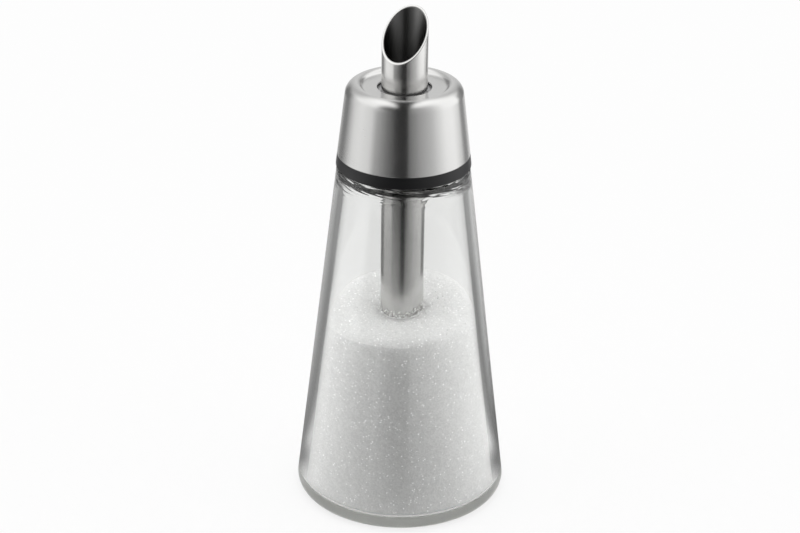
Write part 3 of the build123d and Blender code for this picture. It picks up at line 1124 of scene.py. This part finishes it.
class DISPENSER_OT_stage(Operator):
    """Set up the floor, the soft light and the camera"""

    bl_idname = "dispenser.stage"
    bl_label = "Stage"

    def execute(self, context):
        studio = context.scene.dispenser.studio
        self.lay_floor(studio)
        self.light_world(context.scene, studio)
        self.place_camera(context.scene, studio)
        context.scene.view_settings.view_transform = "Standard"
        context.scene.cycles.blur_glossy = 0.0
        return {"FINISHED"}

    def lay_floor(self, studio):
        mesh = bmesh.new()
        bmesh.ops.create_circle(
            mesh,
            cap_ends=True,
            segments=96,
            radius=studio.floor_radius,
            matrix=Matrix.Translation((0, 0, -studio.floor_drop)),
        )
        floor = add_object("floor", mesh)

        graph = new_material("pale_floor")
        x, y, _ = graph.axes(graph.position())
        distance = graph.maths("SQRT", x * x + y * y)
        share = azimuth(graph, *camera_axes(x, y, studio.heading))
        heel, close, near, far, soft = (
            light_ramp(graph, share, levels)
            for levels in (HEEL_LIGHT, CLOSE_LIGHT, NEAR_LIGHT, FAR_LIGHT, SOFT_LIGHT)
        )
        middle = graph.mix(distance.between(*CLOSE_TO_NEAR), close, near)
        polished = graph.mix(distance.between(*NEAR_TO_FAR), middle, far)
        clear = graph.mix(distance.between(*HEEL_TO_CLOSE), heel, polished)
        # painted shadow of the jar: near the foot the floor glows at only 0.24 for matt surfaces
        matt = graph.mix(distance.between(*SHADE_TO_SOFT), grey(0.24), soft)
        reflected = graph.mix(scattered(graph), clear, matt)
        gain = light_gain(graph, INSIDE_GAIN)
        mirrored = graph.add("ShaderNodeEmission", None, {"Color": reflected, "Strength": gain})
        paper = graph.add("ShaderNodeBsdfDiffuse", None, {"Color": grey(0.2)})
        glow = graph.add("ShaderNodeEmission", None, {"Strength": 0.79})
        lit = graph.add("ShaderNodeAddShader", None, {0: paper, 1: glow})
        surface = graph.add(
            "ShaderNodeMixShader", None, {0: seen_directly(graph), 1: mirrored, 2: lit}
        )
        graph.close(surface)
        floor.data.materials.append(bpy.data.materials["pale_floor"])

    def light_world(self, scene, studio):
        world = bpy.data.worlds.new("soft_studio")
        scene.world = world
        world.use_nodes = True
        graph = Graph(world.node_tree)
        direction = graph.add("ShaderNodeTexCoord", output="Generated")
        x, y, z = graph.axes(direction)
        ahead, aside = camera_axes(x, y, studio.heading)
        share = azimuth(graph, ahead, aside)
        far, high, soft = (
            light_ramp(graph, share, levels)
            for levels in (FAR_LIGHT, HIGH_LIGHT, SOFT_LIGHT)
        )
        off_centre = graph.maths("ABSOLUTE", aside).between(*PARTING_SIDE)
        parting = (1 - off_centre) * ahead.between(*PARTING_BACK)
        overhead = graph.mix(parting, grey(1.6), grey(0.02))
        sides = graph.mix(z.between(*FAR_TO_HIGH), far, high)
        polished = graph.mix(z.between(*HIGH_TO_TOP), sides, overhead)
        above = z.between(*SOFT_TO_TOP)
        matt = graph.mix(above, soft, grey(1.4))
        reflected = graph.mix(scattered(graph), polished, matt)
        colour = graph.mix(seen_directly(graph), reflected, grey(1))
        gain = light_gain(graph, INSIDE_GAIN - above * (INSIDE_GAIN - TOP_GAIN))
        background = graph.add("ShaderNodeBackground", None, {"Color": colour, "Strength": gain})
        graph.add("ShaderNodeOutputWorld", None, {"Surface": background})
        world.cycles.sampling_method = "NONE"

    def place_camera(self, scene, studio):
        data = bpy.data.cameras.new("camera")
        data.lens = studio.lens
        data.sensor_width = 36.0
        data.clip_start = 0.01
        camera = bpy.data.objects.new("camera", data)
        camera.matrix_world = (
            Matrix.Translation(studio.camera_place)
            @ Matrix.Rotation(studio.heading, 4, "Z")
            @ Matrix.Rotation(math.pi / 2 - studio.pitch, 4, "X")
            @ Matrix.Rotation(studio.roll, 4, "Z")
        )
        scene.collection.objects.link(camera)
        scene.camera = camera


class DISPENSER_PT_panel(Panel):
    """Sidebar panel with the dispenser's sizes and its build steps"""

    bl_label = "Sugar Dispenser"
    bl_idname = "DISPENSER_PT_panel"
    bl_space_type = "VIEW_3D"
    bl_region_type = "UI"
    bl_category = "Dispenser"

    def draw(self, context):
        settings = context.scene.dispenser
        for name in ("jar", "sugar", "cap", "tubes", "finishes", "studio"):
            box = self.layout.box()
            box.label(text=name.capitalize())
            group = getattr(settings, name)
            for key in group.bl_rna.properties.keys():
                if key not in ("rna_type", "name"):
                    box.prop(group, key)
        for step in steps:
            self.layout.operator(step.bl_idname)


steps = (
    DISPENSER_OT_stage,
    DISPENSER_OT_jar,
    DISPENSER_OT_sugar,
    DISPENSER_OT_cap_shell,
    DISPENSER_OT_cap_insert,
    DISPENSER_OT_collar,
    DISPENSER_OT_tubes,
    DISPENSER_OT_flap,
)

classes = (
    JarSizes,
    SugarSizes,
    CapSizes,
    TubeSizes,
    Finishes,
    StudioSettings,
    DispenserSettings,
    *steps,
    DISPENSER_PT_panel,
)


def register():
    for cls in classes:
        bpy.utils.register_class(cls)
    bpy.types.Scene.dispenser = PointerProperty(type=DispenserSettings)


def unregister():
    del bpy.types.Scene.dispenser
    for cls in reversed(classes):
        bpy.utils.unregister_class(cls)


def main():
    register()
    bpy.ops.dispenser.stage()
    bpy.ops.dispenser.jar()
    bpy.ops.dispenser.sugar()
    bpy.ops.dispenser.cap_shell()
    bpy.ops.dispenser.cap_insert()
    bpy.ops.dispenser.collar()
    bpy.ops.dispenser.tubes()
    bpy.ops.dispenser.flap()


if __name__ == "__main__":
    main()
